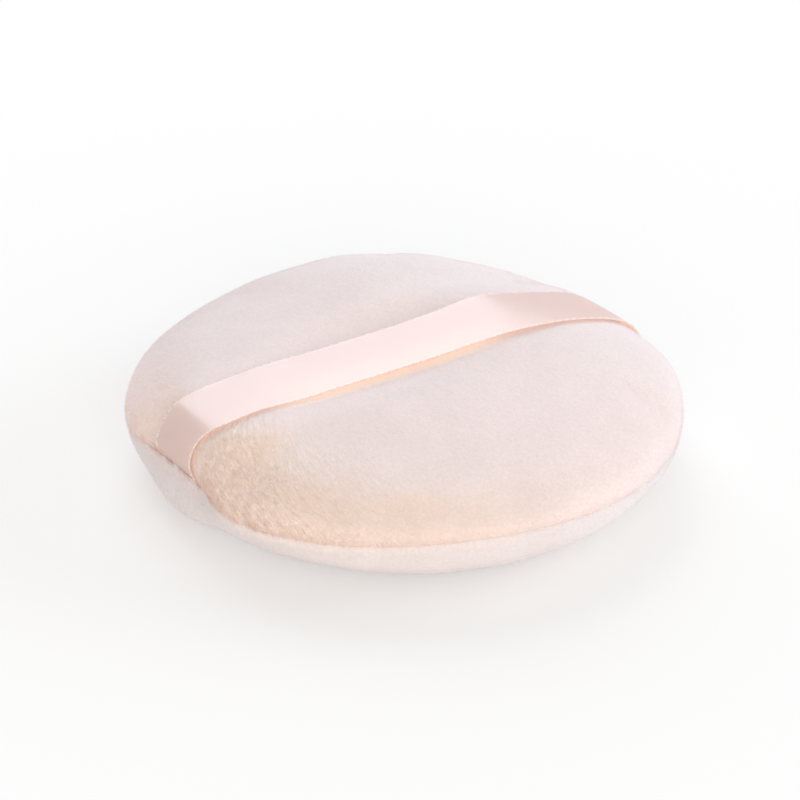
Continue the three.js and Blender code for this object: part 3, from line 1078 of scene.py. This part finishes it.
def make_ribbon_half(name, side, ribbon, seam_height):
    """Half of the ribbon, as a thin woven strip with looped selvedges."""
    line, length = ribbon_half_line(side)
    count = len(line) - 1
    work = bmesh.new()
    weave = work.loops.layers.uv.new("weave")
    bmesh.ops.create_grid(work, x_segments=count, y_segments=RIBBON_STRIPS, size=0.5)
    spots = {}
    for vertex in work.verts:
        spots[vertex] = (round((vertex.co.x + 0.5) * count), vertex.co.y)
    for vertex, (step, across) in spots.items():
        vertex.co = ribbon_point(line, step, across, side, ribbon)
    for face in work.faces:
        for loop in face.loops:
            step, across = spots[loop.vert]
            loop[weave].uv = (side * step * RIBBON_STEP, across * ribbon.width)
    bmesh.ops.recalc_face_normals(work, faces=work.faces)
    top = max(work.faces, key=lambda face: face.calc_center_median().z)
    if top.normal.z < 0:
        bmesh.ops.reverse_faces(work, faces=work.faces)
    face_side = set(work.faces)
    bmesh.ops.solidify(work, geom=list(work.faces), thickness=ribbon.thickness)
    bmesh.ops.recalc_face_normals(work, faces=work.faces)
    for face in work.faces:
        face.smooth = True
        at_edge = abs(face.normal.y) > 0.7
        face.material_index = 0 if face in face_side or at_edge else 1
    for edge in work.edges:
        edge.smooth = edge.calc_face_angle(0.0) < radians(50)
    add_picots(work, weave, line, length, side, ribbon)
    bmesh.ops.translate(work, verts=work.verts, vec=(0, 0, seam_height))
    return add_object(name, work), length


def satin_look(name, colours, width, passing):
    """Warp-faced satin: fine threads along the ribbon, a line at the selvedge, and light passing through."""
    material, look = new_look(name)
    place = look.node("ShaderNodeUVMap", {"uv_map": "weave"})
    split = look.node("ShaderNodeSeparateXYZ", {}, Vector=place)
    across = split.output("Y")
    threads = (across * (2 * pi / WARP_PITCH)).sine()
    mottle = look.node("ShaderNodeTexNoise", {}, Vector=place, Scale=180.0, Detail=2.0)
    from_edge = width / 2 - across.math("ABSOLUTE", across)
    from_line = from_edge.math("ABSOLUTE", from_edge - SELVEDGE)
    groove = (1 - from_line / GROOVE_WIDTH).clamped()
    height = 0.05 * threads - 2 * groove
    bump = look.node("ShaderNodeBump", {}, Strength=0.2, Distance=0.03 * MM, Height=height)
    deep = darker(colours.satin, 0.88)
    tone = (0.8 + 0.05 * threads + 0.15 * (mottle - 0.5) - 0.5 * groove).clamped()
    colour = look.mix(deep, colours.satin, tone)
    cloth = look.node(
        "ShaderNodeBsdfPrincipled", {}, Base_Color=colour, Roughness=0.30 + 0.04 * mottle, Normal=bump,
        Specular_IOR_Level=0.9, IOR=1.8, Sheen_Weight=0.1,
    )
    through = look.node("ShaderNodeBsdfTranslucent", {}, Color=SATIN_LIGHT)
    show(look, look.node("ShaderNodeMixShader", {}, passing, cloth, through))
    return material


def loop_look(name, colours):
    """The small loops of thread along the selvedge, painted paler than the satin as a highlight where they
    catch the light.
    """
    material, look = new_look(name)
    place = look.coordinates()
    twist = look.node("ShaderNodeTexNoise", {}, Vector=place, Scale=5000.0, Detail=1.0)
    deep = darker(colours.selvedge, 0.85)
    colour = look.mix(deep, colours.selvedge, (1.5 * twist).clamped())
    show(look, look.node(
        "ShaderNodeBsdfPrincipled", {}, Base_Color=colour, Roughness=0.4, Sheen_Weight=0.5,
    ))
    return material


class PUFF_OT_ribbon(Operator):
    """Lays the satin ribbon over the crown, sewn in at both ends"""

    bl_idname = "puff.ribbon"
    bl_label = "Satin Ribbon"

    def execute(self, context):
        scene = context.scene
        ribbon = scene.puff_ribbon
        seam = scene.puff_shape.seam_height
        face = satin_look("satin", scene.puff_colours, ribbon.width, FACE_PASSING)
        reverse = satin_look("satin_reverse", scene.puff_colours, ribbon.width, REVERSE_PASSING)
        loops = loop_look("selvedge", scene.puff_colours)
        halves = (("ribbon_left", -1, "ribbon_end_left"), ("ribbon_right", 1, "ribbon_end_right"))
        for name, side, node in halves:
            half, length = make_ribbon_half(name, side, ribbon, seam)
            for material in (face, reverse, loops):
                half.data.materials.append(material)
            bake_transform(half, "puff", "strap", start=(side * BEND_START, 0, seam), end=(0, 0, seam))
            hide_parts(node, "ribbon_span")
        return {"FINISHED"}


# What is inside

def foam_look(name, colours):
    """Open-cell foam with small pores."""
    material, look = new_look(name)
    place = look.coordinates()
    pores = look.node("ShaderNodeTexVoronoi", {}, Vector=place, Scale=1400.0)
    patch = look.node("ShaderNodeTexNoise", {}, Vector=place, Scale=200.0, Detail=3.0)
    tone = (0.4 + 0.5 * pores + 0.4 * (patch - 0.5)).clamped()
    deep = darker(colours.foam, 0.7)
    bump = look.node("ShaderNodeBump", {}, Strength=0.7, Distance=0.2 * MM, Height=pores)
    shader = look.node(
        "ShaderNodeBsdfPrincipled", {}, Base_Color=look.mix(deep, colours.foam, tone), Roughness=0.95,
        Normal=bump,
    )
    show(look, shader)
    return material


def thread_look(name, colours):
    """Spun thread with a fine twist."""
    material, look = new_look(name)
    place = look.coordinates()
    settings = {"wave_type": "BANDS", "bands_direction": "DIAGONAL"}
    twist = look.node("ShaderNodeTexWave", settings, Vector=place, Scale=900.0, Distortion=1.5, give="Fac")
    deep = darker(colours.thread, 0.75)
    bump = look.node("ShaderNodeBump", {}, Strength=0.6, Distance=0.05 * MM, Height=twist)
    shader = look.node(
        "ShaderNodeBsdfPrincipled", {}, Base_Color=look.mix(deep, colours.thread, twist),
        Roughness=0.75 - 0.15 * twist, Normal=bump, Sheen_Weight=0.2,
    )
    show(look, shader)
    return material


# The filling: its room inside the cloth and inside the turned-in seam, its waist and its lumps
FOAM_ROOM = 0.5 * MM
SEAM_ROOM = 1.5 * MM
WAIST_HEIGHT = 1.6 * MM
LUMP_SIZE = 1.5 * MM
LUMP_RELIEF = 0.12 * MM


def make_foam(shape, ribbon):
    """The foam filling: the bag's own form, drawn in all round, with a waist where the seam is turned in."""
    form = CushionForm(shape, ribbon)
    work = ball(shape.cells)
    clear = shape.wall + FOAM_ROOM
    for vertex in work.verts:
        direction = vertex.co.copy()
        point = form.point(direction, clear)
        r = hypot(point.x, point.y)
        waist = exp(-((point.z / WAIST_HEIGHT) ** 2))
        most = shape.radius - shape.draw_in - shape.allowance - SEAM_ROOM
        if r > most:
            narrow = 1 - waist * (r - most) / r
            point.x *= narrow
            point.y *= narrow
        point += direction * LUMP_RELIEF * noise.noise(point / LUMP_SIZE)
        vertex.co = point + Vector((0, 0, shape.seam_height))
    tidy(work)
    return add_object("foam_filling", work)


class PUFF_OT_inside(Operator):
    """Makes the foam filling and finishes the sewing threads"""

    bl_idname = "puff.inside"
    bl_label = "Filling and Threads"

    def execute(self, context):
        scene = context.scene
        foam = make_foam(scene.puff_shape, scene.puff_ribbon)
        foam.data.materials.append(foam_look("foam", scene.puff_colours))
        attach(foam, "puff")
        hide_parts("foam_core")
        spun = thread_look("thread", scene.puff_colours)
        for node in ("seam_thread", "closing_thread"):
            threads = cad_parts[node]
            threads.data.materials.clear()
            threads.data.materials.append(spun)
        return {"FINISHED"}


# Stage

VIEW_AZIMUTH = radians(-32.1)
VIEW_ELEVATION = radians(30.66)
VIEW_ROLL = radians(0.7)
VIEW_DISTANCE = 0.7
PIXELS = 800
PIXELS_PER_MM = 7.80
AIM_PIXEL = (403.9, 408.75)
SENSOR = 36.0


def add_camera(shape):
    """A long lens at the photograph's angle. The seam's middle falls on AIM_PIXEL."""
    a, e = VIEW_AZIMUTH, VIEW_ELEVATION
    back = Vector((sin(a) * cos(e), -cos(a) * cos(e), sin(e)))
    level = Vector((cos(a), sin(a), 0))
    upright = back.cross(level)
    right = level * cos(VIEW_ROLL) + upright * sin(VIEW_ROLL)
    up = back.cross(right)
    middle = Vector((0, 0, shape.seam_height))
    half = PIXELS / 2
    aim = middle - right * ((AIM_PIXEL[0] - half) / PIXELS_PER_MM * MM)
    aim += up * ((AIM_PIXEL[1] - half) / PIXELS_PER_MM * MM)
    data = bpy.data.cameras.new("camera")
    data.sensor_width = SENSOR
    data.lens = SENSOR * VIEW_DISTANCE / (PIXELS / PIXELS_PER_MM * MM)
    data.clip_start = 0.05
    data.clip_end = 20
    camera = placed("camera", data)
    axes = Matrix((right, up, back)).transposed().to_4x4()
    camera.matrix_world = Matrix.Translation(aim + back * VIEW_DISTANCE) @ axes
    bpy.context.scene.camera = camera


def add_lamp(name, place, target, size, level, colour):
    """A soft square lamp that faces the target. Its level is the brightness of white paper there."""
    data = bpy.data.lights.new(name, "AREA")
    data.size = size
    data.energy = level * pi ** 2 * (target - place).length_squared
    data.color = colour
    lamp = placed(name, data)
    lamp.location = place
    lamp.rotation_euler = (target - place).to_track_quat("-Z", "Y").to_euler()


def seen_directly(look):
    """1 for rays from the camera, and for those mirrored by or passing through a surface."""
    path = look.node("ShaderNodeLightPath", {}, give="Is Camera Ray")
    mirrored = path.output("Is Glossy Ray")
    passing = path.output("Is Transmission Ray")
    return (path + mirrored + passing).clamped()


# How far from the puff's middle the floor starts to turn white, and how white it is beside the puff
FLOOR_SHADE = 55 * MM
FLOOR_WHITE = 0.45
FLOOR_COLOURS = ((0.96, 0.93, 0.9, 1), (0.98, 0.95, 0.92, 1))
FLOOR_REACH = 3.0


def floor_look():
    """A plain pale floor that keeps the puff's shadow and turns white away from it."""
    material, look = new_look("floor")
    place = look.coordinates()
    patch = look.node("ShaderNodeTexNoise", {}, Vector=place, Scale=3.0)
    colour = look.mix(*FLOOR_COLOURS, patch)
    cloth = look.node("ShaderNodeBsdfPrincipled", {}, Base_Color=colour, Roughness=0.9)
    white = look.node("ShaderNodeEmission", {}, Color=(1, 1, 1, 1), Strength=1.0)
    away = look.node("ShaderNodeVectorMath", {"operation": "LENGTH"}, place, give="Value")
    share = FLOOR_WHITE + (1 - FLOOR_WHITE) * ((away - FLOOR_SHADE) / FLOOR_SHADE).clamped()
    show(look, look.node("ShaderNodeMixShader", {}, share * seen_directly(look), cloth, white))
    return material


# Soft lamps: name, place, size, level and colour
LAMPS = (
    ("backdrop", (0.23, 0.73, 0.61), 0.75, 0.52, (0.91, 1.0, 1.1)),
    ("right", (0.92, -0.25, 0.16), 0.8, 0.74, (0.85, 1.0, 1.12)),
    ("front", (-0.45, -0.85, 0.3), 0.9, 0.68, (1.0, 0.96, 0.92)),
)

# Level and colour of the light from all round
SKY = 0.46
SKY_COLOUR = (1.0, 0.98, 0.97, 1)


class PUFF_OT_stage(Operator):
    """Sets the floor, the light and the camera"""

    bl_idname = "puff.stage"
    bl_label = "Stage"

    def execute(self, context):
        scene = context.scene
        work = bmesh.new()
        bmesh.ops.create_grid(work, x_segments=8, y_segments=8, size=FLOOR_REACH)
        floor = add_object("floor", work)
        floor.data.materials.append(floor_look())
        world = bpy.data.worlds.new("world")
        world.use_nodes = True
        world.node_tree.nodes.clear()
        look = Look(world.node_tree)
        seen = seen_directly(look)
        tint = look.mix(SKY_COLOUR, (1, 1, 1, 1), seen)
        glow = look.node("ShaderNodeBackground", {}, Color=tint, Strength=SKY + (1 - SKY) * seen)
        look.node("ShaderNodeOutputWorld", {}, Surface=glow)
        scene.world = world
        middle = Vector((0, 0, scene.puff_shape.seam_height))
        for name, place, size, level, tint in LAMPS:
            add_lamp(name, Vector(place), middle, size, level, tint)
        add_camera(scene.puff_shape)
        scene.view_settings.view_transform = "Standard"
        return {"FINISHED"}


class PUFF_PT_panel(Panel):
    """The steps that make the puff, in order"""

    bl_idname = "PUFF_PT_panel"
    bl_label = "Powder Puff"
    bl_space_type = "VIEW_3D"
    bl_region_type = "UI"
    bl_category = "Powder Puff"

    def draw(self, context):
        for operator in OPERATORS:
            self.layout.operator(operator.bl_idname)


GROUPS = {
    "puff_shape": PuffShape,
    "puff_pile": PuffPile,
    "puff_ribbon": PuffRibbon,
    "puff_colours": PuffColours,
}
OPERATORS = (PUFF_OT_covers, PUFF_OT_pile, PUFF_OT_ribbon, PUFF_OT_inside, PUFF_OT_stage)
CLASSES = (*GROUPS.values(), *OPERATORS, PUFF_PT_panel)


def register():
    for item in CLASSES:
        bpy.utils.register_class(item)
    for name, group in GROUPS.items():
        setattr(bpy.types.Scene, name, PointerProperty(type=group))


def unregister():
    for name in GROUPS:
        delattr(bpy.types.Scene, name)
    for item in reversed(CLASSES):
        bpy.utils.unregister_class(item)


def main():
    register()
    bpy.ops.puff.covers()
    bpy.ops.puff.pile()
    bpy.ops.puff.ribbon()
    bpy.ops.puff.inside()
    bpy.ops.puff.stage()


if __name__ == "__main__":
    main()
